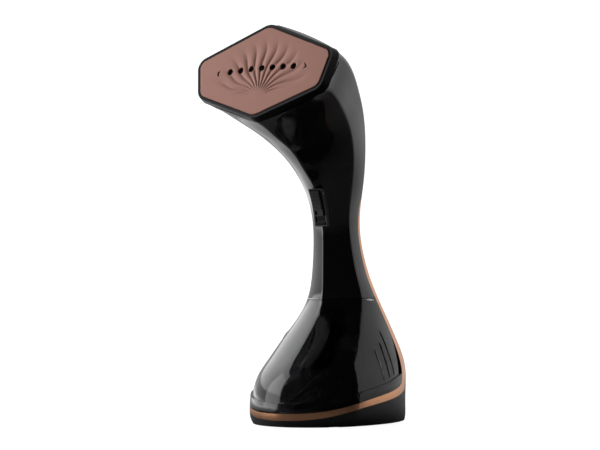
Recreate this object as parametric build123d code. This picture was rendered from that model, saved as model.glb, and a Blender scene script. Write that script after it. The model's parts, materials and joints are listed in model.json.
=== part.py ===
from build123d import *
from math import atan2, cos, hypot, pi, radians, sin, sqrt
import os

os.makedirs("parts", exist_ok=True)

# walls and gaps, mm
shell_wall = 2.3
strip_depth = 1.3
tank_wall = 2.0
seam_z = 98.0
seam_gap = 0.3
reach = 90.0
skirt_step = 2.6

# rounded hexagon sections from the foot to the head: centre back and up, lean, then
# front, side half width and offset, rear corner half width and offset, back,
# crown of the sides, and the rounding of front, side, rear corner and back
stations = [
    (-1.0, 0.8, 0, 67.5, 48.0, -37.0, 43.5, 41.0, 65.5, 0.115, 25, 26, 22, 24),
    (-1.0, 12.0, 0, 70.0, 50.5, -38.0, 44.0, 42.0, 67.0, 0.115, 25, 26, 22, 24),
    (0.0, 26.0, 0, 69.5, 50.5, -37.0, 43.5, 42.5, 66.0, 0.115, 25, 26, 22, 24),
    (2.5, 38.0, 0, 66.5, 48.5, -35.5, 42.6, 42.0, 63.0, 0.110, 23, 24, 20, 22),
    (5.0, 50.0, 0, 57.5, 44.0, -30.0, 40.6, 39.5, 56.8, 0.105, 19, 21, 16, 20),
    (8.0, 65.0, 0, 43.5, 38.4, -21.5, 35.8, 34.2, 48.0, 0.095, 13, 16, 12, 18),
    (11.0, 82.0, 0, 30.2, 31.6, -12.0, 29.8, 27.5, 38.0, 0.075, 7, 11, 9, 16),
    (12.0, 98.0, 0, 22.4, 26.5, -5.5, 24.4, 21.8, 31.0, 0.060, 4, 7, 6, 14),
    (12.0, 117.0, 0, 20.4, 21.7, -5.5, 18.5, 18.0, 25.0, 0.045, 3, 5, 5, 10),
    (12.0, 135.0, 0, 19.9, 19.0, -7.0, 16.0, 13.5, 20.5, 0.040, 3, 4, 4, 8),
    (12.0, 153.0, 0, 20.1, 17.7, -8.5, 15.0, 11.0, 19.0, 0.040, 3, 4, 4, 8),
    (12.0, 168.0, 4, 22.4, 18.7, -9.5, 17.0, 9.0, 19.5, 0.040, 3, 4, 4, 8),
    (9.0, 188.0, 14.6, 25.4, 23.2, -9.5, 23.5, 8.0, 22.5, 0.040, 3, 4, 4, 8),
    (-1.0, 214.5, 32.2, 33.6, 32.2, -11.0, 33.2, 8.0, 29.5, 0.040, 3, 4, 4, 8),
    (-20.0, 242.0, 46.9, 40.3, 43.8, -17.5, 46.2, 5.0, 38.0, 0.040, 4, 4, 5, 9),
    (-35.0, 253.5, 53.8, 43.0, 49.4, -19.2, 52.6, 6.4, 39.2, 0.039, 5, 5, 5, 10),
    (-49.0, 262.0, 60.0, 44.0, 54.0, -20.2, 58.0, 8.2, 40.0, 0.038, 6, 5, 6, 10),
    (-64.0, 267.6, 66.2, 42.6, 57.3, -19.2, 62.2, 10.4, 40.9, 0.034, 8, 6, 6, 11),
    (-78.5, 270.0, 72.2, 39.6, 59.5, -17.5, 65.5, 12.5, 41.4, 0.030, 10, 7, 7, 12),
]

# edges of the copper strip seen from the side, from the toe to the back: y, z
strip_upper = [(-74, 11.0), (-60, 12.2), (-40, 17.2), (-20, 21.7), (0, 24.9), (18, 28.6)]
strip_front = [(28.6, 40), (30, 52), (30.4, 66), (29.6, 82), (26.6, 98), (22.8, 117), (19.8, 135), (18.2, 153)]
strip_front_top = [(17.6, 168), (18.9, 177.5), (24, 183.5), (60, 187)]
strip_lower = [(-74, 5.7), (-60, 7.3), (-40, 12.8), (-20, 16.7), (8, 20.5), (28, 24.2)]
strip_rear = [(44.6, 44), (44, 56), (42, 67), (38.3, 82), (33.8, 98), (29.6, 117), (25.4, 135), (23.2, 153)]
strip_rear_top = [(21.8, 168), (23, 174.5), (28, 179.5), (60, 182.5)]

# head: the plate's face, its lean, and its outline
plate_centre = Vector(0, -85.6, 272.3)
plate_lean = 17.8
plate_thickness = 2.6
plate_outline = [(0, 36.6), (62.6, 11.0), (56.2, -16.2), (0, -36.6), (-56.2, -16.2), (-62.6, 11.0)]
bezel_outline = [(0, 41.4), (66.4, 13.2), (60.2, -18.4), (0, -40.2), (-60.2, -18.4), (-66.4, 13.2)]
plate_rounding = [11, 6.5, 8, 12, 8, 6.5]
bezel_depth = 7.3
steam_hole = 2.3
hole_pitch = 10.1

# trigger group on the front crease: y, z of the crease
crease = [(-7.9, 149.5), (-8.5, 158), (-10.4, 168), (-13.6, 177.5), (-18.6, 189)]
frame_bottom = 155.2
frame_top = 184.6
frame_half = 5.9
lever_half = 4.4
trigger_pivot = (-13.4, 181.0)

# finger grooves down the tank's sides: top and bottom ends, y and z
grip_lines = [((13.2, 72.0), (14.2, 37.5)), ((6.4, 63.0), (5.4, 36.0)), ((-2.6, 58.0), (-3.2, 34.6))]
groove_width = 2.0
groove_depth = 0.9

# dock in the foot and the channel it fills in the tank
dock_half = 13.0
dock_front = 0.0
dock_top = 54.0
channel_gap = 1.4
nozzle_z = 37.0

# filler on the tank's side, and the screws of the boiler and the circuit board
fill_plane = Plane(origin=(-40.5, -2, 66), x_dir=(0.4686, 0, 0.8834), z_dir=(-0.8751, -0.14, 0.4642))
boiler_bolts = [(-40, 8), (-36, -11), (0, -25), (36, -11), (40, 8), (0, 25.5)]
boiler_outline = [(0, 30.5), (50, 8.8), (45, -13.5), (0, -30.5), (-45, -13.5), (-50, 8.8)]
board_spots = [(-6.5, 119), (1.5, 163)]


def arc_circle(start, end, crown):
    """Centre and radius of a crowned side."""
    dx = end[0] - start[0]
    dy = end[1] - start[1]
    length = hypot(dx, dy)
    rise = crown * length
    radius = (length * length / 4 + rise * rise) / (2 * rise)
    nx = dy / length
    ny = -dx / length
    cx = (start[0] + end[0]) / 2 - nx * (radius - rise)
    cy = (start[1] + end[1]) / 2 - ny * (radius - rise)
    return cx, cy, radius


def corner_circle(before, after, round_radius, corner):
    """Centre of the rounding that touches both crowned sides, and its two touching points."""
    ax, ay, ar = before
    bx, by, br = after
    ra = ar - round_radius
    rb = br - round_radius
    gap = hypot(bx - ax, by - ay)
    ex = (bx - ax) / gap
    ey = (by - ay) / gap
    along = (ra * ra - rb * rb + gap * gap) / (2 * gap)
    aside = sqrt(max(ra * ra - along * along, 0))
    choices = []
    for side in (1, -1):
        choices.append((ax + ex * along - ey * aside * side, ay + ey * along + ex * aside * side))
    px, py = min(choices, key=lambda p: hypot(p[0] - corner[0], p[1] - corner[1]))
    first = (ax + (px - ax) / ra * ar, ay + (py - ay) / ra * ar)
    second = (bx + (px - bx) / rb * br, by + (py - by) / rb * br)
    return (px, py), first, second


def arc_middle(centre, first, second):
    """Point halfway along the short arc between two points."""
    a0 = atan2(first[1] - centre[1], first[0] - centre[0])
    a1 = atan2(second[1] - centre[1], second[0] - centre[0])
    turn = (a1 - a0 + pi) % (2 * pi) - pi
    radius = hypot(first[0] - centre[0], first[1] - centre[1])
    return centre[0] + radius * cos(a0 + turn / 2), centre[1] + radius * sin(a0 + turn / 2)


def section_wire(row, inset):
    """One leaning section of the body, shrunk evenly by inset."""
    y, z, lean, front, side, side_at, rear, rear_at, back, crown, rf, rs, rr, rk = row
    corners = [(0, -front), (side, side_at), (rear, rear_at), (0, back), (-rear, rear_at), (-side, side_at)]
    roundings = [rf, rs, rr, rk, rr, rs]
    circles = []
    for i in range(6):
        cx, cy, radius = arc_circle(corners[i], corners[(i + 1) % 6], crown)
        circles.append((cx, cy, radius - inset))
    rounds = []
    for i in range(6):
        rounds.append(corner_circle(circles[i - 1], circles[i], max(roundings[i] - inset, 0.6), corners[i]))

    def place(p):
        return Vector(p[0], y + p[1] * cos(radians(lean)), z + p[1] * sin(radians(lean)))

    edges = []
    for i in range(6):
        centre, first, second = rounds[i]
        nxt = rounds[(i + 1) % 6][1]
        side_centre = (circles[i][0], circles[i][1])
        edges.append(ThreePointArc(place(first), place(arc_middle(centre, first, second)), place(second)))
        edges.append(ThreePointArc(place(second), place(arc_middle(side_centre, second, nxt)), place(nxt)))
    return Wire(edges)


def body_loft(rows, inset):
    """The body's outer form, or the same form shrunk by inset."""
    return Solid.make_loft([section_wire(row, inset) for row in rows])


def stepped_rows():
    """The tank's own form: inside the skirt low down, one with the body higher up."""
    rows = []
    for row in stations[:10]:
        y, z, lean, front, side, side_at, rear, rear_at, back, *rest = row
        step = skirt_step * max(0.0, 1 - (z / 70) ** 2)
        rows.append((y, z, lean, front - step, side - step, side_at, rear - step, rear_at, back - step, *rest))
    return rows


def side_region(edges, half=reach):
    """A flat outline in the YZ plane, made solid across the body."""
    return extrude(Face(Wire(edges)), amount=half, dir=(1, 0, 0), both=True)


def yz(y, z):
    return Vector(0, y, z)


def shifted(points, dy, dz):
    return [yz(p[0] + dy, p[1] + dz) for p in points]


def strip_line(low, mid, top, dy, dz):
    """The strip's edge as three joined curves, moved dy along its upright and dz along its foot."""
    toe = shifted(low, 0, dz)
    leg = shifted(mid, dy, 0)
    crown = shifted(top, dy, 0)
    foot_curve = Spline(*toe)
    up_curve = Spline(*leg)
    bend = smooth_join(foot_curve, up_curve)
    top_curve = Spline(*crown, tangents=[up_curve % 1, (0, 1, 0.05)])
    join = smooth_join(up_curve, top_curve)
    return [foot_curve, bend, up_curve, join, top_curve]


def smooth_join(first, second):
    """A curve that leads smoothly from one curve into the next."""
    return Spline(first @ 1, second @ 0, tangents=[first % 1, second % 0])


def behind_line(curves):
    """Everything below and behind a strip line."""
    start = curves[0] @ 0
    end = curves[-1] @ 1
    corners = [yz(end.Y + 60, end.Z), yz(end.Y + 60, -20), yz(-150, -20), yz(-150, start.Z)]
    rest = Polyline(end, *corners, start)
    return side_region([*curves, *rest.edges()])


def head_plane(depth=0.0):
    """Plane of the steam plate's face, moved into the head by depth."""
    normal = Vector(0, -cos(radians(plate_lean)), sin(radians(plate_lean)))
    return Plane(origin=plate_centre - normal * depth, x_dir=(1, 0, 0), z_dir=normal)


def rounded_outline(points, roundings, grow=0.0):
    """A hexagon with its own rounding at every corner, grown evenly."""
    face = Face(Wire(Polyline(*[Vector(*p, 0) for p in points], close=True).edges()))
    for point, rounding in zip(points, roundings):
        vertex = min(face.vertices(), key=lambda v: hypot(v.X - point[0], v.Y - point[1]))
        face = face.fillet_2d(rounding, [vertex])
    if grow:
        face = Face(face.outer_wire().offset_2d(grow))
    return face


def slab(face, thickness):
    """A flat face given thickness upwards."""
    return extrude(face, amount=thickness, dir=(0, 0, 1))


def box_between(x0, x1, y0, y1, z0, z1):
    return Pos((x0 + x1) / 2, (y0 + y1) / 2, (z0 + z1) / 2) * Box(x1 - x0, y1 - y0, z1 - z0)


def rod(start, end, radius):
    """A round bar between two points."""
    a = Vector(*start)
    b = Vector(*end)
    return Solid.make_cylinder(radius, (b - a).length, Plane(origin=a, z_dir=b - a))


def tube(points, outer, inner, tangents=None):
    """A hose through points."""
    path = Spline(*[Vector(*p) for p in points], tangents=tangents)
    ring = Plane(origin=path @ 0, z_dir=path % 0) * (Circle(outer) - Circle(inner))
    return sweep(ring, path=path)


def save(shape, name):
    solids = shape.solids()
    shape = Compound(children=list(solids)) if len(solids) > 1 else solids[0]
    shape.label = name
    export_step(shape, f"parts/{name}.step")
    print(name, round(shape.volume), len(shape.solids()))


# master forms
outer = body_loft(stations, 0)
under_strip = body_loft(stations, strip_depth)
inner = body_loft(stations, shell_wall)
tank_outer = body_loft(stepped_rows(), 0)
tank_inner = body_loft(stepped_rows(), tank_wall)

front_line = strip_line(strip_upper, strip_front, strip_front_top, 0, 0)
rear_line = strip_line(strip_lower, strip_rear, strip_rear_top, 0, 0)
deck_line = strip_line(strip_upper, strip_front, strip_front_top, 2.2, -2.2)
behind_front = behind_line(front_line)
behind_rear = behind_line(rear_line)
behind_deck = behind_line(deck_line)
print("masters")

above_seam = box_between(-reach, reach, -150, 100, seam_z + seam_gap / 2, 340)
below_seam = box_between(-reach, reach, -150, 100, -5, seam_z - seam_gap / 2)


def crease_region(front, back, low, high, half):
    """A block that follows the front crease, from front mm before it to back mm behind it."""
    near = Spline(*shifted(crease, -front, 0))
    far = Spline(*shifted(crease, back, 0))
    block = side_region([near, Line(near @ 1, far @ 1), far, Line(far @ 0, near @ 0)], half)
    return block & box_between(-half, half, -60, 60, low, high)


boss_spots = [(16.5, 112), (-3.5, 203), (-29, 238)]


def shell_bosses():
    """Screw bosses across the handle, and the screws in them."""
    spots = boss_spots
    bosses = []
    screws = []
    wells = []
    for y, z in spots:
        bosses.append(rod((-60, y, z), (60, y, z), 3.8) & under_strip)
        wells.append(rod((-80, y, z), (-6, y, z), 2.9) + rod((-7, y, z), (7, y, z), 1.5))
        screws.append(rod((-9, y, z), (-6, y, z), 2.7) + rod((-6, y, z), (6.8, y, z), 1.4))
    return bosses, screws, wells


latch_low = (62.0, -80.8, 263.6)
latch_high = (64.4, -74.6, 274.9)


def latch_bar(side, half, depth_in, depth_out):
    """A thin bar along the head's side, parallel to the bezel."""
    a = Vector(latch_low[0] * side, latch_low[1], latch_low[2])
    b = Vector(latch_high[0] * side, latch_high[1], latch_high[2])
    plane = Plane(origin=(a + b) * 0.5, x_dir=b - a, z_dir=(side, 0, 0))
    length = (b - a).length
    return plane * Pos(0, 0, (depth_out - depth_in) / 2) * Box(length, 2 * half, depth_in + depth_out)


def button_rod(radius, low, high):
    """A bar on the power button's axis, low mm inside to high mm outside the back ridge."""
    centre = Vector(0, 24.2, 230.0)
    axis = Vector(0, 0.95, 0.31).normalized()
    return Solid.make_cylinder(radius, high - low, Plane(origin=centre + axis * low, z_dir=axis))


def handle_shells():
    form = (outer - inner) & above_seam
    form -= behind_front
    bosses, screws, wells = shell_bosses()
    for boss in bosses:
        form += boss
    for well in wells:
        form -= well
    form -= crease_region(4, 12, frame_bottom - 0.15, frame_top + 0.15, frame_half + 0.15)
    form -= button_rod(9.4, -9, 12)
    for side in (1, -1):
        form -= latch_bar(side, 0.8, 6, 8)
    right = form & box_between(0.04, reach, -150, 100, 0, 340)
    left = form & box_between(-reach, -0.04, -150, 100, 0, 340)
    save(right, "handle_shell_right")
    save(left, "handle_shell_left")
    save(Compound(children=screws), "shell_screws")
    latches = []
    for side in (1, -1):
        bar = latch_bar(side, 0.7, 5, 8) & body_loft(stations, 0.7)
        latches.append(bar)
    save(Compound(children=latches), "head_latches")


def base_housing():
    form = outer & behind_front
    form -= inner & behind_deck
    form -= inner & above_seam
    form -= (outer - under_strip) & (behind_front - behind_rear)
    form -= box_between(-dock_half + 1.7, dock_half - 1.7, 1.7, 50, 12, dock_top - 1.7)
    form -= rod((0, 50, 12), (0, 90, 12), 6.1)
    form -= base_outline(2.0, 0, 3.2)
    return form


def base_outline(inset, low, high):
    """A slab with the foot's outline."""
    wire = section_wire((*stations[0][:1], 0, *stations[0][2:]), inset)
    return Pos(0, 0, low) * extrude(Face(wire), amount=high - low, dir=(0, 0, 1))


def trim_strip():
    return (outer - body_loft(stations, strip_depth - 0.02)) & (behind_front - behind_rear)


def base_parts():
    plate = base_outline(2.2, 1.0, 3.2) - base_outline(8.2, 0.9, 1.8)
    posts = []
    wells = []
    screws = []
    for x in (-32, 32):
        for y in (-42, 40):
            posts.append(rod((x, y, 3.2), (x, y, 9), 4))
            wells.append(rod((x, y, 0), (x, y, 3.6), 3.0) + rod((x, y, 3.2), (x, y, 9), 1.6))
            screws.append(rod((x, y, 2.0), (x, y, 3.4), 2.8) + rod((x, y, 3.4), (x, y, 8.6), 1.5))
    for post in posts:
        plate += post
    for y in (19, 33):
        plate += box_between(-9, 9, y - 2, y + 2, 3, 20)
    for well in wells:
        plate -= well
    plate -= rod((0, 44, 12), (0, 100, 12), 6.4)
    pad = base_outline(8.4, 0, 1.8)
    for x in (-32, 32):
        for y in (-42, 40):
            pad -= rod((x, y, -1), (x, y, 3), 4.2)
    save(plate, "base_plate")
    save(pad, "grip_pad")
    save(Compound(children=screws), "base_screws")
    gland = rod((0, 55, 12), (0, 65, 12), 5.9) + rod((0, 66.4, 12), (0, 71.0, 12), 7.4)
    gland += rod((0, 64.9, 12), (0, 66.5, 12), 5.9)
    gland -= rod((0, 50, 12), (0, 80, 12), 3.2)
    save(gland, "cord_gland")
    clamp = box_between(-11, 11, 47, 52, 8, 19) - rod((0, 40, 12), (0, 60, 12), 3.2)
    for x in (-8, 8):
        clamp -= rod((x, 49.5, 5), (x, 49.5, 19), 1.3)
    clamp -= box_between(-12, 12, 40, 60, 11.8, 12.2)
    save(clamp, "cord_clamp")
    bars = [rod((x, 49.5, 6), (x, 49.5, 19.1), 1.25) + rod((x, 49.5, 19.1), (x, 49.5, 20.6), 2.5) for x in (-8, 8)]
    save(Compound(children=bars), "clamp_screws")


def dock_parts():
    tower = box_between(-dock_half, dock_half, dock_front, 30.0, 20, dock_top)
    tower = fillet(tower.edges().filter_by(Axis.Z), 2)
    tower -= box_between(-dock_half + 1.7, dock_half - 1.7, dock_front + 1.7, 50, 0, dock_top - 1.7)
    tower -= behind_front
    tower -= rod((0, -5, nozzle_z), (0, 5, nozzle_z), 5.0)
    for z in (32, 36, 40, 44):
        tower -= box_between(dock_half - 0.5, dock_half + 1, 5, 15, z, z + 1.4)
    save(tower, "dock_tower")
    seal = rod((0, -1.0, nozzle_z), (0, 3.4, nozzle_z), 4.9) - rod((0, -3, nozzle_z), (0, 5, nozzle_z), 3.05)
    save(seal, "dock_seal")
    pump = rod((0, -0.6, nozzle_z), (0, 8, nozzle_z), 3.0) + rod((0, 8, nozzle_z), (0, 42, nozzle_z), 6.0)
    pump += rod((0, 42, nozzle_z), (0, 46, nozzle_z), 2.3)
    pump -= rod((0, -2, nozzle_z), (0, 52, nozzle_z), 1.4)
    save(pump, "pump_body")
    coil = box_between(-10, 10, 13, 37, nozzle_z - 10, nozzle_z + 10)
    coil = fillet(coil.edges().filter_by(Axis.Y), 2.5) - rod((0, 10, nozzle_z), (0, 40, nozzle_z), 6.02)
    save(coil, "pump_coil")
    mounts = [box_between(-7, 7, y - 1.6, y + 1.6, 20.05, nozzle_z - 10.05) for y in (19, 33)]
    save(Compound(children=mounts), "pump_mounts")
    hose = tube([(0, 42.6, nozzle_z), (0, 46, nozzle_z), (0, 52.5, 42), (3, 48.5, 62), (6, 34, 95), (7, 22, 140),
                 (7, 18, 185), (7, -2, 226), (7, -30, 255), (7, -52.0, 265.7), (7, -58.4, 267.8)], 3.6, 2.45)
    save(hose, "boiler_hose")


def tank_parts():
    region = below_seam - behind_line(strip_line(strip_upper, strip_front, strip_front_top, -0.35, 0.35))
    core = below_seam - behind_line(strip_line(strip_upper, strip_front, strip_front_top, -2.4, 2.3))
    core &= box_between(-reach, reach, -150, 100, -5, seam_z - 2.4)
    skirt_top = [(-80, 19.0), (-60, 20.2), (-40, 24.6), (-20, 29.0), (0, 32.4), (14, 35.4), (36, 41.0)]
    curve = Spline(*shifted(skirt_top, 0, 0))
    ends = [yz(36, -5), yz(-80, -5)]
    rest = Polyline(curve @ 1, *ends, curve @ 0)
    low = side_region([curve, *rest.edges()])
    body = (tank_outer & region) + (outer & region & low)
    channel = box_between(-dock_half - channel_gap, dock_half + channel_gap, dock_front - 1.5, 60, 0,
                          dock_top + channel_gap)
    wall = box_between(-dock_half - channel_gap - tank_wall, dock_half + channel_gap + tank_wall,
                       dock_front - 1.5 - tank_wall, 60, 0, dock_top + channel_gap + tank_wall)
    body -= (tank_inner & core) - wall
    body -= channel
    groove_skin = tank_outer - body_loft(stepped_rows(), groove_depth)
    for line in grip_lines:
        body -= groove_skin & groove_band(line)
    body -= rod((0, -20, nozzle_z), (0, 5, nozzle_z), 5.0)
    body += fill_disc(10.6, -3.3, -1.0)
    body -= fill_disc(9.2, -1.1, 8)
    body -= fill_disc(6.3, -12, 2)
    body -= hinge_bar(1.95, -4.1, 4.1)
    body -= fill_plane * Pos(0, 9.2, 1.0) * Box(8.2, 3.2, 4.4)
    for low in (-7.0, 4.2):
        body += hinge_bar(1.5, low, low + 2.8)
    body -= hinge_bar(0.75, -9, 9)
    save(max(body.solids(), key=lambda solid: solid.volume), "tank_shell")
    cap = fill_disc(8.8, -1.0, 6) & tank_outer
    cap += fill_plane * Pos(0, 0, -2.7) * Cone(5.3, 5.9, 3.5)
    cap += hinge_bar(1.5, -3.8, 3.8)
    cap += fill_plane * Pos(0, 8.9, 0.65) * Box(7.2, 2.8, 2.5)
    cap -= hinge_bar(0.75, -9, 9)
    cap -= fill_plane * Pos(0, -8.9, 0.2) * Box(6, 1.6, 1.6)
    save(cap, "filler_cap")
    save(hinge_bar(0.7, -6.8, 6.8), "filler_pin")
    valve = rod((0, -9, nozzle_z), (0, -1.6, nozzle_z), 4.95) - rod((0, -12, nozzle_z), (0, -5, nozzle_z), 2.2)
    valve -= rod((0, -3.2, nozzle_z), (0, 0, nozzle_z), 3.2)
    valve -= box_between(-2, 2, -12, 0, nozzle_z - 0.15, nozzle_z + 0.15)
    save(valve, "tank_valve")
    pickup = tube([(0, -6.5, nozzle_z), (0, -16, nozzle_z - 2), (0, -34, 27), (0, -52, 21.0)], 2.15, 1.3,
                  [(0, -1, 0), (0, -1, -0.1)])
    save(pickup, "pickup_tube")
    weight = rod((0, -52.3, 21.0), (0, -58, 20.6), 3.2) - rod((0, -50, 21.1), (0, -56, 20.7), 1.3)
    save(weight, "pickup_filter")


def fill_disc(radius, low, high):
    """A round slab square to the tank's side at the filler, from low to high."""
    return fill_plane * Pos(0, 0, (low + high) / 2) * Cylinder(radius, high - low)


def hinge_bar(radius, low, high):
    """A bar along the filler cap's hinge."""
    return fill_plane * Pos((low + high) / 2, 10.3, 0.9) * Rot(0, 90, 0) * Cylinder(radius, high - low)


def groove_band(line):
    """A thin slanting band across the tank, rounded at its ends."""
    (y0, z0), (y1, z1) = line
    along = Vector(0, y1 - y0, z1 - z0)
    middle = yz((y0 + y1) / 2, (z0 + z1) / 2)
    plane = Plane(origin=middle, x_dir=along, z_dir=(1, 0, 0))
    return extrude(plane * SlotOverall(along.length, groove_width), amount=reach, dir=(1, 0, 0), both=True)


def head_parts():
    plate_face = rounded_outline(plate_outline, plate_rounding)
    plate = head_plane(plate_thickness) * slab(plate_face, plate_thickness)
    plate = fillet(plate.faces().sort_by(Axis((0, 0, 0), head_plane().z_dir))[-1].edges(), 0.7)
    for i in range(-4, 5):
        spot = Pos(hole_pitch * i, 2.2 - 0.1 * i * i, 0)
        if abs(i) < 4:
            plate -= head_plane() * spot * Pos(0, 0, -2) * Cylinder(steam_hole, 8)
        else:
            mark = Cylinder(2.1, 1.2) - Pos(-1.0 * i / 4, 0, 0) * Cylinder(1.9, 3)
            plate -= head_plane() * spot * mark
    for k in range(12):
        angle = 15 + k * 150 / 11
        far = 26 + 13 * abs(cos(radians(angle)))
        bar = Pos(0, -25, 2.72) * Rot(0, 0, angle) * Pos((11 + far) / 2, 0, 0) * Rot(0, 90, 0) * Cylinder(3, far - 11)
        plate -= head_plane() * bar
    for x, v in boiler_bolts:
        plate -= head_plane(1.0) * Pos(x, v, -3) * Cylinder(1.25, 3.4)
    save(plate, "steam_plate")
    gasket = slab(rounded_outline(plate_outline, plate_rounding, 0.95), 2.0)
    gasket -= Pos(0, 0, -1) * slab(rounded_outline(plate_outline, plate_rounding, 0.06), 5)
    save(head_plane(2.6) * gasket, "plate_gasket")
    front = rounded_outline(plate_outline, plate_rounding, 2.5)
    back = rounded_outline(bezel_outline, [12, 8, 9, 13, 9, 8])
    ring = Solid.make_loft([head_plane(0.5) * front.outer_wire(), head_plane(bezel_depth) * back.outer_wire()])
    hole = rounded_outline(plate_outline, plate_rounding, 1.0)
    ring -= head_plane(bezel_depth + 2) * slab(hole, 12)
    inner_lip = slab(hole, 1.2) - slab(rounded_outline(plate_outline, plate_rounding, -1.6), 1.2)
    ring += head_plane(bezel_depth - 3.0) * inner_lip
    save(ring, "head_bezel")


def boiler_parts():
    outline = rounded_outline(boiler_outline, [9, 6, 6, 9, 6, 6])
    casting = head_plane(19) * slab(outline, 19 - plate_thickness - 0.02)
    chamber = rounded_outline([(x * 0.62, v * 0.62) for x, v in boiler_outline], [5, 4, 4, 5, 4, 4])
    casting -= head_plane(10) * slab(chamber, 10 - plate_thickness + 1)
    path = Wire([Line((-30, 9), (-27, -7)), Line((-27, -7), (0, -19)), Line((0, -19), (27, -7)), Line((27, -7), (30, 9))])
    path = path.fillet_2d(6, path.vertices()[1:4])
    element = sweep(Plane(origin=path @ 0, z_dir=path % 0) * Circle(3.2), path=path)
    ends = []
    for x in (-30, 30):
        ends.append(Pos(x, 9, 0) * Sphere(3.2))
        ends.append(Pos(x, 9, -7) * Cylinder(1.6, 14))
    for end in ends:
        element += end
    element = head_plane(14.6) * element
    save(element, "heating_element")
    holes = []
    for x, v in boiler_bolts:
        holes.append(head_plane(12) * Pos(x, v, 0) * Cylinder(1.6, 60))
    casting -= head_plane(14.6) * (sweep(Plane(origin=path @ 0, z_dir=path % 0) * Circle(3.21), path=path)
                                   + Pos(-30, 9, -7) * Cylinder(3.25, 14.5) + Pos(30, 9, -7) * Cylinder(3.25, 14.5)
                                   + Pos(-30, 9, 0) * Sphere(3.25) + Pos(30, 9, 0) * Sphere(3.25))
    for hole in holes:
        casting -= hole
    save(casting, "boiler_casting")
    cover = head_plane(20.6) * slab(outline, 1.5)
    for hole in holes:
        cover -= hole
    for x in (-30, 30):
        cover -= head_plane(20) * Pos(x, 9, 0) * Cylinder(3.3, 8)
    cover += head_plane(25.6) * Pos(7, 4, 0) * slab(Circle(3.6), 5)
    cover += head_plane(31.6) * Pos(7, 4, 0) * slab(Circle(2.4), 6.1)
    cover -= head_plane(35) * Pos(7, 4, 0) * slab(Circle(1.3), 17)
    save(cover, "boiler_cover")
    screws = []
    for x, v in boiler_bolts:
        screws.append(head_plane(20.6) * Pos(x, v, -1) * Cylinder(2.8, 2)
                      + head_plane(11.7) * Pos(x, v, 0) * Cylinder(1.2, 17.8))
    save(Compound(children=screws), "boiler_screws")
    stat = head_plane(24.7) * Pos(-14, 4, 0) * slab(Circle(8), 4)
    stat += head_plane(28) * Pos(-14, 4, 0) * slab(Circle(5), 4)
    for v in (-3, 11):
        stat += head_plane(31) * Pos(-14, v, 0) * slab(Rectangle(4, 0.8), 6.5)
    save(stat, "thermostat")
    fuse = head_plane(23) * Pos(22, -5, 0) * Rot(0, 0, 25) * Rot(0, 90, 0) * Cylinder(2.1, 14)
    save(fuse, "thermal_fuse")
    shield_face = rounded_outline([(x * 0.8, v * 0.72) for x, v in boiler_outline], [6, 5, 5, 6, 5, 5])
    shield = head_plane(36) * slab(shield_face, 0.5)
    for x in (-33, 33):
        shield += head_plane(36) * Pos(x, -3, 7.6) * Box(0.6, 9, 15.2)
    shield -= head_plane(36) * Pos(7, 4, 0) * Cylinder(6.4, 6)
    for x in (-30, 30):
        shield -= head_plane(36) * Pos(x, 9, 0) * Cylinder(4, 40)
    save(shield, "heat_shield")


def control_parts():
    frame = crease_region(2.0, 5.5, frame_bottom, frame_top, frame_half)
    frame -= crease_region(6, 12, 156.0, 183.4, lever_half + 0.4)
    frame -= rod((-9, *trigger_pivot), (9, *trigger_pivot), 1.26)
    save(frame, "trigger_frame")
    lever = crease_region(0.9, 4.0, 156.4, 183.0, lever_half)
    lever += crease_region(2.8, 2.0, 156.4, 158.6, lever_half)
    lever -= rod((-9, *trigger_pivot), (9, *trigger_pivot), 1.3)
    save(lever, "trigger")
    pin = rod((-frame_half + 0.4, *trigger_pivot), (frame_half - 0.4, *trigger_pivot), 1.25)
    save(pin, "trigger_pin")
    coil = Helix(pitch=0.75, height=3.6, radius=2.0)
    wire = sweep(Plane(origin=coil @ 0, z_dir=coil % 0) * Circle(0.3), path=coil, is_frenet=True)
    spring = Pos(-1.8, trigger_pivot[0] + 7.6, trigger_pivot[1] - 4) * Rot(0, 90, 0) * wire
    save(spring, "trigger_spring")
    slider = crease_region(3.6, -1.05, 163.2, 182.6, lever_half - 0.2)
    slider -= crease_region(6, -2.4, 164.0, 167.3, lever_half - 1.1)
    for i in range(5):
        z = 168.5 + 2.7 * i
        slider += crease_region(4.6, -3.0, z, z + 1.3, lever_half - 0.7)
    save(slider, "lock_slider")
    switch = box_between(-3.1, 3.1, -0.6, 5.6, 152.5, 171.5)
    switch += rod((0, -1.3, 158), (0, -0.6, 158), 1.1)
    save(switch, "microswitch")
    ring = button_rod(9.2, -6, 0.6) - button_rod(7.3, -8, 5)
    save(ring, "light_ring")
    cup = button_rod(7.0, -5, 1.6) - button_rod(5.6, -6, -1.4)
    dish = Pos(*(button_rod(1, 12, 13).center())) * Sphere(11.9)
    save(cup - dish, "power_button")


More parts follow.
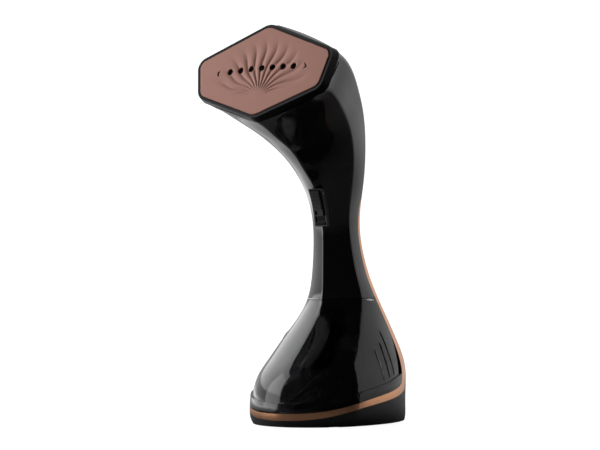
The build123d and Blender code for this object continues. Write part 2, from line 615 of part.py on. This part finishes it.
def chassis_parts():
    floor = (inner & box_between(-reach, reach, -60, 60, seam_z + 0.2, seam_z + 2.2))
    floor -= rod((5.5, 34, 80), (5.5, 34, 110), 7.2)
    floor -= behind_deck_cut()
    web = box_between(-11, 11, 8.4, 10.4, seam_z + 1, 178)
    for x in (-11, 9.4):
        web += box_between(x, x + 1.6, 8.4, 13, 104, 170)
    web += box_between(-4, 4, 5.65, 8.5, 156, 168)
    web -= rod((-20, *boss_spots[0]), (20, *boss_spots[0]), 4.1)
    stand = []
    for x, z in board_spots:
        stand.append(rod((x, 10, z), (x, 13.2, z), 2.4))
    for part in stand:
        web += part
    web = web + floor
    for x, z in board_spots:
        web -= rod((x, 5, z), (x, 20, z), 1.0)
    save(web, "chassis")
    board = box_between(-9, 4.0, 13.25, 14.75, 116, 166)
    for x, z in board_spots:
        board -= rod((x, 12, z), (x, 16, z), 1.1)
    board += box_between(-6, 0, 14.75, 18.5, 122, 131)
    board += rod((-3, 14.75, 140), (-3, 19, 140), 3.2)
    save(board, "circuit_board")
    screws = [rod((x, 9, z), (x, 14.8, z), 0.95) + rod((x, 14.8, z), (x, 16, z), 1.9) for x, z in board_spots]
    save(Compound(children=screws), "board_screws")
    block = box_between(-9, 1, 16.4, 22.8, 100.25, 107.8)
    for x in (-6.5, -1.5):
        block -= rod((x, 24, 104.2), (x, 19, 104.2), 1.6)
    save(block, "terminal_block")


def behind_deck_cut():
    """Room behind the tank's back wall for the hose and wires."""
    return box_between(-reach, reach, 23.4, 90, seam_z - 1, seam_z + 4)


save(base_housing(), "base_housing")
save(trim_strip(), "trim_strip")
handle_shells()
base_parts()
dock_parts()
tank_parts()
head_parts()
boiler_parts()
control_parts()
chassis_parts()
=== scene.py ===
import bpy
import json
import math
import numpy as np
from mathutils import Matrix, Vector


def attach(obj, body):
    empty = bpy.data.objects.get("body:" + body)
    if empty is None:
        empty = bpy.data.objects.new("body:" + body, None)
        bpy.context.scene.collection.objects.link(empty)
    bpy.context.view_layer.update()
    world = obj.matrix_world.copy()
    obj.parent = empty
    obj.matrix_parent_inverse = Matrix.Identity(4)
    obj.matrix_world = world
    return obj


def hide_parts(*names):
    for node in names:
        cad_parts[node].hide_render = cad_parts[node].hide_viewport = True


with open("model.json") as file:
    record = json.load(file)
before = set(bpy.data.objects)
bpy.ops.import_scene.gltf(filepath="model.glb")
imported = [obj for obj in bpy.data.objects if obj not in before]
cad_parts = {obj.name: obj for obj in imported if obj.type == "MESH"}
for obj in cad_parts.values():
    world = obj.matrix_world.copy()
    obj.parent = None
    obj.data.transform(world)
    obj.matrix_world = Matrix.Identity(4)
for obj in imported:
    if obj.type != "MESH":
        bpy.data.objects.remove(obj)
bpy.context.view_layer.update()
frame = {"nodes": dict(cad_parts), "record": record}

# camera: low, in front of the steamer and to its right, with a long lens (degrees, metres, lens in mm)
cameraLook = {"azimuth": 35.0, "distance": 1.5, "height": 0.109, "lens": 112.5, "sensor": 36,
              "roll": -0.7, "aimLeft": 0.0296, "aimHeight": 0.157, "axisY": 0.012}


def makeCamera():
    # stands off the neck's axis by the distance, looks at a point a little to its left, then rolls
    look = cameraLook
    turn = math.radians(look["azimuth"])
    across = Vector((math.cos(turn), math.sin(turn), 0))
    away = Vector((-math.sin(turn), math.cos(turn), 0))
    axis = Vector((0, look["axisY"], 0))
    place = axis - away * look["distance"] + Vector((0, 0, look["height"]))
    aim = axis - across * look["aimLeft"] + Vector((0, 0, look["aimHeight"]))
    data = bpy.data.cameras.new("camera")
    data.lens = look["lens"]
    data.sensor_width = look["sensor"]
    camera = bpy.data.objects.new("camera", data)
    bpy.context.scene.collection.objects.link(camera)
    facing = (aim - place).to_track_quat("-Z", "Y").to_matrix().to_4x4()
    tilt = Matrix.Rotation(math.radians(look["roll"]), 4, "Z")
    camera.matrix_world = Matrix.Translation(place) @ facing @ tilt
    bpy.context.scene.camera = camera


makeCamera()
print("camera")


def newMaterial(name):
    material = bpy.data.materials.new(name)
    material.use_nodes = True
    tree = material.node_tree
    shader = tree.nodes["Principled BSDF"]
    return material, tree, shader


def link(tree, outSocket, inSocket):
    tree.links.new(outSocket, inSocket)


def addNode(tree, kind, **values):
    node = tree.nodes.new(kind)
    for key, value in values.items():
        setattr(node, key, value)
    return node


def newGroup(name, inputs, outputs):
    # an empty shared group: inputs as label, kind and starting value, outputs as label and kind
    group = bpy.data.node_groups.new(name, "ShaderNodeTree")
    for label, kind, value in inputs:
        socket = group.interface.new_socket(label, in_out="INPUT", socket_type=kind)
        socket.default_value = value
    for label, kind in outputs:
        group.interface.new_socket(label, in_out="OUTPUT", socket_type=kind)
    return group, group.nodes.new("NodeGroupInput"), group.nodes.new("NodeGroupOutput")


def makeSurfaceGroup():
    # colour and roughness drift with two sizes of noise, and a fine noise makes the normal
    group, given, out = newGroup("surfaceDrift", [
        ("Color", "NodeSocketColor", (0.5, 0.5, 0.5, 1)), ("Roughness", "NodeSocketFloat", 0.4),
        ("Drift", "NodeSocketFloat", 0.1), ("Scale", "NodeSocketFloat", 60.0),
        ("Grain", "NodeSocketFloat", 0.1), ("Grain Scale", "NodeSocketFloat", 900.0),
        ("Depth", "NodeSocketFloat", 0.00005)],
        [("Color", "NodeSocketColor"), ("Roughness", "NodeSocketFloat"), ("Normal", "NodeSocketVector")])
    # broad noise from -1 to 1, times the drift, plus 1, multiplies both colour and roughness
    place = addNode(group, "ShaderNodeTexCoord")
    broad = addNode(group, "ShaderNodeTexNoise")
    broad.inputs["Detail"].default_value = 4
    link(group, place.outputs["Object"], broad.inputs["Vector"])
    link(group, given.outputs["Scale"], broad.inputs["Scale"])
    centred = addNode(group, "ShaderNodeMath", operation="MULTIPLY_ADD")
    link(group, broad.outputs["Fac"], centred.inputs[0])
    centred.inputs[1].default_value = 2
    centred.inputs[2].default_value = -1
    amount = addNode(group, "ShaderNodeMath", operation="MULTIPLY")
    link(group, centred.outputs[0], amount.inputs[0])
    link(group, given.outputs["Drift"], amount.inputs[1])
    factor = addNode(group, "ShaderNodeMath", operation="ADD")
    link(group, amount.outputs[0], factor.inputs[0])
    factor.inputs[1].default_value = 1
    tint = addNode(group, "ShaderNodeVectorMath", operation="SCALE")
    link(group, given.outputs["Color"], tint.inputs[0])
    link(group, factor.outputs[0], tint.inputs["Scale"])
    rough = addNode(group, "ShaderNodeMath", operation="MULTIPLY")
    link(group, given.outputs["Roughness"], rough.inputs[0])
    link(group, factor.outputs[0], rough.inputs[1])
    fine = addNode(group, "ShaderNodeTexNoise")
    fine.inputs["Detail"].default_value = 2
    link(group, place.outputs["Object"], fine.inputs["Vector"])
    link(group, given.outputs["Grain Scale"], fine.inputs["Scale"])
    bump = addNode(group, "ShaderNodeBump")
    link(group, given.outputs["Grain"], bump.inputs["Strength"])
    link(group, given.outputs["Depth"], bump.inputs["Distance"])
    link(group, fine.outputs["Fac"], bump.inputs["Height"])
    link(group, tint.outputs[0], out.inputs["Color"])
    link(group, rough.outputs[0], out.inputs["Roughness"])
    link(group, bump.outputs["Normal"], out.inputs["Normal"])
    return group


surfaceGroup = makeSurfaceGroup()


def addDrift(tree, shader, color, roughness, drift, scale=60.0):
    # feeds a shader's colour and roughness through the shared group
    group = addNode(tree, "ShaderNodeGroup", node_tree=surfaceGroup)
    group.inputs["Color"].default_value = (*color, 1)
    group.inputs["Roughness"].default_value = roughness
    group.inputs["Drift"].default_value = drift
    group.inputs["Scale"].default_value = scale
    link(tree, group.outputs["Color"], shader.inputs["Base Color"])
    link(tree, group.outputs["Roughness"], shader.inputs["Roughness"])
    return group


def finishOf(name, color, roughness, metallic=0.0, drift=0.1, scale=60.0, grain=0.1, grainScale=900.0,
             coat=0.0, coatRoughness=0.05, bumpOn=True, ior=1.5):
    material, tree, shader = newMaterial(name)
    group = addDrift(tree, shader, color, roughness, drift, scale)
    group.inputs["Grain"].default_value = grain
    group.inputs["Grain Scale"].default_value = grainScale
    if bumpOn:
        link(tree, group.outputs["Normal"], shader.inputs["Normal"])
    shader.inputs["Metallic"].default_value = metallic
    shader.inputs["Coat Weight"].default_value = coat
    shader.inputs["Coat Roughness"].default_value = coatRoughness
    shader.inputs["IOR"].default_value = ior
    return material


def makeSmoke():
    # smoked clear plastic: glass with a dark tint
    material, tree, shader = newMaterial("smokedClear")
    addDrift(tree, shader, (0.17, 0.17, 0.178), 0.045, 0.12, 25)
    shader.inputs["Transmission Weight"].default_value = 1.0
    shader.inputs["IOR"].default_value = 1.49
    return material


# one finish for each material slot of the parts
finishes = {
    "satin_black": finishOf("satinBlack", (0.016, 0.016, 0.018), 0.36, drift=0.08, grain=0.25,
                            grainScale=2600),
    "gloss_black": finishOf("glossBlack", (0.006, 0.006, 0.007), 0.045, drift=0.10, scale=18,
                            bumpOn=False, coat=0.3, coatRoughness=0.02),
    "copper_trim": finishOf("copperTrim", (0.86, 0.44, 0.25), 0.25, metallic=1.0, drift=0.06, grain=0.08),
    "copper_plate": finishOf("copperPlate", (0.275, 0.120, 0.087), 0.40, metallic=0.35, drift=0.05,
                             scale=30, grain=0.12, grainScale=3000),
    "smoked_tank": makeSmoke(),
    "black_rubber": finishOf("blackRubber", (0.012, 0.012, 0.012), 0.55, drift=0.12, grain=0.4,
                             grainScale=2000),
    "white_plastic": finishOf("whitePlastic", (0.60, 0.60, 0.57), 0.42, drift=0.04),
    "grey_plastic": finishOf("greyPlastic", (0.19, 0.19, 0.20), 0.45, drift=0.06),
    "clear_hose": finishOf("siliconeHose", (0.55, 0.53, 0.47), 0.38, drift=0.07),
    "alloy": finishOf("castAlloy", (0.55, 0.55, 0.56), 0.42, metallic=1.0, drift=0.15, grain=0.5,
                      grainScale=1200),
    "steel": finishOf("brightSteel", (0.58, 0.58, 0.59), 0.26, metallic=1.0, drift=0.10, grain=0.15),
    "board": finishOf("boardGreen", (0.02, 0.13, 0.05), 0.36, drift=0.15, scale=200),
    "copper_coil": finishOf("coilCopper", (0.50, 0.22, 0.10), 0.34, metallic=0.6, drift=0.2, scale=400),
    "pin_metal": finishOf("pinSteel", (0.50, 0.50, 0.50), 0.22, metallic=1.0, drift=0.08),
    "light": finishOf("lightRing", (0.45, 0.50, 0.55), 0.2, drift=0.05),
}
# the ring and the gasket round the plate reflect little, so they stay black seen edge on
ownFinish = {
    "head_bezel": finishOf("bezelBlack", (0.004, 0.004, 0.004), 0.30, drift=0.08, grain=0.1, ior=1.22),
    "plate_gasket": finishOf("gasketBlack", (0.004, 0.004, 0.004), 0.55, drift=0.1, grain=0.3, ior=1.25),
}
slotOf = {part["node"]: part["material_slot"] for part in frame["record"]["subparts"]}
for name, node in frame["nodes"].items():
    node.data.materials.clear()
    node.data.materials.append(ownFinish.get(name, finishes[slotOf[name]]))
print("materials")


def gridQuads(rows, columns):
    # four-sided faces between points that are listed row by row
    i, j = np.meshgrid(np.arange(rows - 1), np.arange(columns - 1), indexing="ij")
    a = (i * columns + j).ravel()
    return np.stack([a, a + 1, a + columns + 1, a + columns], 1)


def newPiece(name, points, quads, material):
    mesh = bpy.data.meshes.new(name)
    mesh.from_pydata(points.tolist(), [], quads.tolist())
    mesh.polygons.foreach_set("use_smooth", np.ones(len(quads), bool))
    mesh.materials.append(material)
    piece = bpy.data.objects.new(name, mesh)
    bpy.context.scene.collection.objects.link(piece)
    return piece


# steam plate: a hexagon with rounded corners, pleated like a shell and pierced by seven holes
# centre, thick and rim are in metres, other lengths in millimetres on the plate's own face
steamPlate = {"centre": (0, -0.0856, 0.2723), "lean": 17.8, "thick": 0.00255, "rim": 0.0007,
              "corners": [(0, 36.6), (62.6, 11.0), (56.2, -16.2), (0, -36.6), (-56.2, -16.2), (-62.6, 11.0)],
              "rounding": [11, 6.5, 8, 12, 8, 6.5], "cornerPoints": 16,
              "across": 264, "up": 150, "rowEase": 0.25, "spreadEase": 0.1, "tip": 0.02,
              "fanFoot": -23.0, "fanReach": 52.0, "fadeFrom": 0.62, "footFade": (4, 13),
              "sideFade": (0.16, 0.42), "pleats": 26, "pleatDepth": 0.55, "ridge": 0.8,
              "bunch": 0.55, "bunchReach": 17, "sway": 0.035, "swayLength": 5.0,
              "holes": 7, "hole": 2.3, "pitch": 10.1, "row": 2.2, "bow": 0.1,
              "snap": 0.30, "slack": 0.02, "sinkWidth": 0.55, "sinkDepth": 0.22,
              "markStep": 4, "markRadius": 2.1, "markBite": 1.9, "markShift": 1.0, "markDepth": 0.7,
              "markSoft": (-0.1, 0.25)}


def plateOutline():
    # straight sides joined by an arc at each corner, walked once round
    look = steamPlate
    points = []
    corners = [np.array(c, float) for c in look["corners"]]
    for k, corner in enumerate(corners):
        toward = corners[k - 1] - corner
        onward = corners[(k + 1) % len(corners)] - corner
        toward, onward = toward / np.linalg.norm(toward), onward / np.linalg.norm(onward)
        half = math.acos(float(toward @ onward)) / 2
        bisector = (toward + onward) / np.linalg.norm(toward + onward)
        radius = look["rounding"][k]
        middle = corner + bisector * radius / math.sin(half)
        first = corner + toward * radius / math.tan(half) - middle
        sweep = math.pi - 2 * half
        turn = np.linspace(0, -sweep, look["cornerPoints"])
        points.append(middle + np.stack([np.cos(turn) * first[0] - np.sin(turn) * first[1],
                                         np.sin(turn) * first[0] + np.cos(turn) * first[1]], 1))
    return np.concatenate(points)


def smoothStep(value, low, high):
    # 0 below low, 1 above high, an even S between
    t = np.clip((value - low) / (high - low), 0, 1)
    return t * t * (3 - 2 * t)


def pleatHeight(x, v):
    # pleats fan out from a foot below the holes: rounded ridges and narrow valleys, a sine of the angle
    # they bunch together near the foot, sway a little on the way out and fade at both ends and the sides
    look = steamPlate
    rise = v - look["fanFoot"]
    radius = np.hypot(x, rise)
    angle = np.arctan2(rise, x)
    lean = (angle - math.pi / 2) * (1 + look["bunch"] * np.exp(-(radius / look["bunchReach"]) ** 2))
    sway = look["sway"] * np.sin(radius / look["swayLength"])
    wave = np.abs(np.sin((lean + sway) * look["pleats"] / 2))
    outer = 1 - smoothStep(radius, look["fadeFrom"] * look["fanReach"], look["fanReach"])
    fade = smoothStep(radius, *look["footFade"]) * outer
    side = smoothStep(np.sin(angle), *look["sideFade"])
    return -look["pleatDepth"] * (1 - wave ** look["ridge"]) * fade * side


def plateEdgeGap(flat, rim):
    # shortest distance from each point to the outline's straight pieces
    start, end = rim, np.roll(rim, -1, 0)
    best = np.full(len(flat), 1e3)
    for a, b in zip(start, end):
        line = b - a
        t = np.clip(((flat - a) @ line) / max(float(line @ line), 1e-9), 0, 1)
        best = np.minimum(best, np.linalg.norm(flat - (a + t[:, None] * line), axis=1))
    return best


def makeSteamPlate():
    # rows from the bottom corner to the top one, each row spread across the hexagon's width there
    look = steamPlate
    rim = plateOutline()
    low, high = rim[:, 1].min(), rim[:, 1].max()
    rightSide = rim[rim[:, 0] >= 0]
    rightSide = rightSide[np.argsort(rightSide[:, 1])]
    t = np.linspace(0, 1, look["up"])
    eased = (1 - np.cos(math.pi * t)) / 2
    v = low + (high - low) * ((1 - look["rowEase"]) * t + look["rowEase"] * eased)
    width = np.interp(v, rightSide[:, 1], rightSide[:, 0])
    width[[0, -1]] = look["tip"]
    spread = np.linspace(-1, 1, look["across"])
    spread = (1 - look["spreadEase"]) * spread + look["spreadEase"] * np.sin(spread * math.pi / 2)
    x = width[:, None] * spread[None]
    v = np.repeat(v[:, None], look["across"], 1)
    flat = np.stack([x.ravel(), v.ravel()], 1)
    # holes in a slightly bowed row, and the points near each hole's edge are moved onto it
    step = np.arange(look["holes"]) - look["holes"] // 2
    holes = np.stack([look["pitch"] * step, look["row"] - look["bow"] * step ** 2], 1)
    away = flat[:, None] - holes[None]
    reach = np.linalg.norm(away, axis=2)
    near = reach.argmin(1)
    every = np.arange(len(flat))
    gap, arm = reach[every, near], away[every, near]
    snapped = np.abs(gap - look["hole"]) < look["snap"]
    flat[snapped] = holes[near][snapped] + arm[snapped] / gap[snapped][:, None] * look["hole"]
    # the rim rolls down through a quarter circle, and each hole's edge sinks by a square law
    edge = plateEdgeGap(flat, rim)
    drop = 1000 * look["rim"]
    lip = np.clip(drop - edge, 0, drop)
    height = pleatHeight(flat[:, 0], flat[:, 1]) - (drop - np.sqrt(drop ** 2 - lip ** 2))
    sink = np.clip(1 - (gap - look["hole"]) / look["sinkWidth"], 0, 1)
    height -= look["sinkDepth"] * sink ** 2
    # a blind crescent beyond each end hole: one circle with another bitten out of it
    for side in (-1, 1):
        outward = side * look["markStep"]
        spot = np.array([outward * look["pitch"], look["row"] - look["bow"] * outward ** 2])
        inside = look["markRadius"] - np.linalg.norm(flat - spot, axis=1)
        outside = np.linalg.norm(flat - spot + [look["markShift"] * side, 0], axis=1) - look["markBite"]
        height -= look["markDepth"] * smoothStep(np.minimum(inside, outside), *look["markSoft"])
    # the flat face leans back and is carried to its place, in metres
    lean = math.radians(look["lean"])
    points = np.array(look["centre"]) + np.stack([
        flat[:, 0] / 1000,
        (flat[:, 1] * math.sin(lean) - height * math.cos(lean)) / 1000,
        (flat[:, 1] * math.cos(lean) + height * math.sin(lean)) / 1000], 1)
    quads = gridQuads(look["up"], look["across"])
    centre = flat[quads].mean(1)
    holeGap = np.min(np.linalg.norm(centre[:, None] - holes[None], axis=2), 1) - look["hole"]
    pierced = holeGap < -look["slack"]
    plate = newPiece("steamPlateSkin", points, quads[~pierced], finishes["copper_plate"])
    # the rim's roll and the thickness behind it together make the plate's full thickness
    body = plate.modifiers.new("thickness", "SOLIDIFY")
    body.thickness = look["thick"] - look["rim"]
    body.offset = -1
    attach(plate, "housing")
    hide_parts("steam_plate")


makeSteamPlate()
print("steam plate")

# white cove round the back, pale floor and one soft light: metres, degrees and glow strengths
# left and right are distances across the view, and the band is a dim stretch of the cove's height
studio = {"coveRadius": 2.2, "coveHeight": 3.6, "coveHalfAngle": 108, "coveColumns": 73,
          "floorHole": 0.3, "floorRows": 11, "bend": 0.5, "bendRows": 20,
          "leftGlow": 1.6, "leftRamp": (-0.15, -0.90), "rightGlow": 0.34, "rightRamp": (0.15, 0.80),
          "middleGlow": 0.09, "bandHeight": 0.30, "bandRamp": (0.16, 0.30), "bandGlow": 0.20,
          "coveShade": 0.42, "coveEye": 0.90, "floorShade": 0.16, "floorEye": 0.96,
          "frontNear": -3.0, "frontFar": 0.6, "frontHalfWidth": 2.4, "frontDrop": 0.0004, "frontRows": 12,
          "keyPlace": (-1.5, 0.0, 0.6), "keyTarget": (0, 0, 0.22), "keyWidth": 1.3, "keyHeight": 1.7,
          "keyPower": 9, "ambient": 0.02}


def acrossView(right, away):
    # x and y of places given to the right in the camera's view and away from the camera
    turn = math.radians(cameraLook["azimuth"])
    return right * math.cos(turn) - away * math.sin(turn), right * math.sin(turn) + away * math.cos(turn)


def viewPoint(right, away, up):
    return Vector((*acrossView(right, away), up))


def sheetPiece(name, x, y, z, material):
    # a sheet through a grid of points, faces wound to show their other side than the plate's
    rows, columns = x.shape
    points = np.stack([x, y, z], 2).reshape(-1, 3)
    quads = gridQuads(rows, columns)[:, [0, 3, 2, 1]]
    newPiece(name, points, quads, material)


def glowRamp(tree, value, start, end, low, high):
    # low up to start, high from end on, an even S between
    ramp = addNode(tree, "ShaderNodeMapRange", interpolation_type="SMOOTHSTEP")
    link(tree, value, ramp.inputs["Value"])
    ramp.inputs["From Min"].default_value = start
    ramp.inputs["From Max"].default_value = end
    ramp.inputs["To Min"].default_value = low
    ramp.inputs["To Max"].default_value = high
    return ramp


def mathNode(tree, operation, first, second):
    # second is a socket or a plain number
    node = addNode(tree, "ShaderNodeMath", operation=operation)
    link(tree, first, node.inputs[0])
    if isinstance(second, float):
        node.inputs[1].default_value = second
    else:
        link(tree, second, node.inputs[1])
    return node.outputs[0]


def paperMaterial(name, shade, eyeGlow, middle, left, right):
    # matt white paper that glows evenly to the eye
    # to reflections it is bright on the left but for the dim band, dark in the middle, weak on the right
    look = studio
    material, tree, shader = newMaterial(name)
    addDrift(tree, shader, (shade, shade, shade), 0.9, 0.01)
    place = addNode(tree, "ShaderNodeTexCoord")
    along = addNode(tree, "ShaderNodeVectorMath", operation="DOT_PRODUCT")
    link(tree, place.outputs["Object"], along.inputs[0])
    along.inputs[1].default_value = viewPoint(1, 0, 0)
    leftRamp = glowRamp(tree, along.outputs["Value"], *look["leftRamp"], middle, left)
    rightRamp = glowRamp(tree, along.outputs["Value"], *look["rightRamp"], 0.0, right)
    height = addNode(tree, "ShaderNodeSeparateXYZ")
    link(tree, place.outputs["Object"], height.inputs[0])
    offBand = mathNode(tree, "SUBTRACT", height.outputs["Z"], look["bandHeight"])
    bandGap = mathNode(tree, "ABSOLUTE", offBand, 0.0)
    band = glowRamp(tree, bandGap, *look["bandRamp"], look["bandGlow"], 1.0)
    leftGlow = mathNode(tree, "MULTIPLY", leftRamp.outputs["Result"], band.outputs["Result"])
    glow = mathNode(tree, "ADD", leftGlow, rightRamp.outputs["Result"])
    rays = addNode(tree, "ShaderNodeLightPath")
    pick = addNode(tree, "ShaderNodeMix", data_type="FLOAT")
    link(tree, rays.outputs["Is Camera Ray"], pick.inputs["Factor"])
    link(tree, glow, pick.inputs["A"])
    pick.inputs["B"].default_value = eyeGlow
    shader.inputs["Emission Color"].default_value = (1, 1, 1, 1)
    link(tree, pick.outputs["Result"], shader.inputs["Emission Strength"])
    return material


def makeCove(material):
    # floor ring that turns up through a quarter circle into a wall, swept through part of a circle
    look = studio
    bend = np.linspace(0, math.pi / 2, look["bendRows"])
    inner = look["coveRadius"] - look["bend"]
    floor = np.linspace(look["floorHole"], inner, look["floorRows"] + 1)[:-1]
    run = np.concatenate([floor, inner + look["bend"] * np.sin(bend), [look["coveRadius"]]])
    rise = np.concatenate([np.zeros(len(floor)), look["bend"] * (1 - np.cos(bend)), [look["coveHeight"]]])
    sweep = np.linspace(-look["coveHalfAngle"], look["coveHalfAngle"], look["coveColumns"])
    angle = np.radians(sweep + 90 + cameraLook["azimuth"])
    x = run[:, None] * np.cos(angle)[None]
    y = run[:, None] * np.sin(angle)[None]
    sheetPiece("cove", x, y, np.repeat(rise[:, None], len(angle), 1), material)


def makeFrontFloor(material):
    # flat sheet under and in front of the steamer, a hair below the cove's floor
    look = studio
    along = np.linspace(look["frontNear"], look["frontFar"], look["frontRows"])
    side = np.linspace(-look["frontHalfWidth"], look["frontHalfWidth"], look["frontRows"])
    x, y = acrossView(side[None], along[:, None])
    sheetPiece("frontFloor", x, y, np.full_like(x, -look["frontDrop"]), material)


def softLight(name, place, target, width, height, power):
    data = bpy.data.lights.new(name, "AREA")
    data.shape = "RECTANGLE"
    data.size = width
    data.size_y = height
    data.energy = power
    light = bpy.data.objects.new(name, data)
    facing = (Vector(target) - Vector(place)).to_track_quat("-Z", "Y").to_matrix().to_4x4()
    light.matrix_world = Matrix.Translation(place) @ facing
    bpy.context.scene.collection.objects.link(light)


makeCove(paperMaterial("covePaper", studio["coveShade"], studio["coveEye"], studio["middleGlow"],
                       studio["leftGlow"], studio["rightGlow"]))
makeFrontFloor(paperMaterial("floorPaper", studio["floorShade"], studio["floorEye"], 0.0, 0.0, 0.0))
world = bpy.data.worlds.new("studio")
bpy.context.scene.world = world
world.use_nodes = True
world.node_tree.nodes["Background"].inputs[0].default_value = (1, 1, 1, 1)
world.node_tree.nodes["Background"].inputs[1].default_value = studio["ambient"]
softLight("leftKey", viewPoint(*studio["keyPlace"]), studio["keyTarget"], studio["keyWidth"],
          studio["keyHeight"], studio["keyPower"])
bpy.context.scene.view_settings.view_transform = "Standard"
print("studio")
